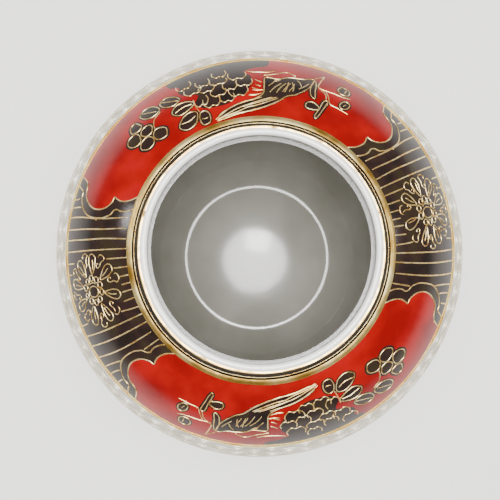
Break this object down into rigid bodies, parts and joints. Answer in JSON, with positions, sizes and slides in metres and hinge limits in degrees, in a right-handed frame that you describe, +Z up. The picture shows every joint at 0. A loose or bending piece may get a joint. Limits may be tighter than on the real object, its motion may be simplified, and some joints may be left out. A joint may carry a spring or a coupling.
{
  "type": "cloisonne vase",
  "caption": "Round-shouldered jar vase: porcelain body in a brass casing with raised brass lines, red and dark enamel panels, a short neck and a wide open mouth.",
  "frame": {"origin": "centre of the foot's rest face", "axes": "+Z up along the vase's axis; +X and -X through the centres of the two roundels; +Y through the back red panel and -Y through the front red panel"},
  "size_m": [0.127, 0.127, 0.136],
  "materials": {
    "white_porcelain": "clear glaze",
    "brass_sheet": "satin",
    "brass_ring": "polished",
    "brass_wire": "polished",
    "red_enamel": "glossy fired enamel",
    "dark_enamel": "glossy fired enamel",
    "belly_enamel": "glossy fired enamel between raised brass waves"
  },
  "bodies": {
    "root": {"back_bird_enamel": "dark_enamel", "back_bird_wires": "brass_wire", "back_border_enamel": "dark_enamel", "back_branch_enamel": "dark_enamel", "back_branch_wires": "brass_wire", "back_flower_enamel": "dark_enamel", "back_flower_wires": "brass_wire", "back_inner_outline": "brass_wire", "back_leaf_enamel": "dark_enamel", "back_leaf_wires": "brass_wire", "back_outer_outline": "brass_wire", "back_peony_enamel": "dark_enamel", "back_peony_wires": "brass_wire", "back_red_enamel": "red_enamel", "belly_casing": "brass_sheet", "belly_enamel": "belly_enamel", "belly_ring": "brass_ring", "collar_ring": "brass_ring", "foot_band": "brass_sheet", "front_bird_enamel": "dark_enamel", "front_bird_wires": "brass_wire", "front_border_enamel": "dark_enamel", "front_branch_enamel": "dark_enamel", "front_branch_wires": "brass_wire", "front_flower_enamel": "dark_enamel", "front_flower_wires": "brass_wire", "front_inner_outline": "brass_wire", "front_leaf_enamel": "dark_enamel", "front_leaf_wires": "brass_wire", "front_outer_outline": "brass_wire", "front_peony_enamel": "dark_enamel", "front_peony_wires": "brass_wire", "front_red_enamel": "red_enamel", "left_ground_enamel": "dark_enamel", "left_roundel_enamel": "dark_enamel", "left_roundel_wires": "brass_wire", "left_stripe_wires": "brass_wire", "neck_bead": "brass_ring", "neck_enamel_band": "dark_enamel", "neck_sleeve": "brass_sheet", "porcelain_body": "white_porcelain", "right_ground_enamel": "dark_enamel", "right_roundel_enamel": "dark_enamel", "right_roundel_wires": "brass_wire", "right_stripe_wires": "brass_wire", "shoulder_casing": "brass_sheet"}
  },
  "joints": []
}
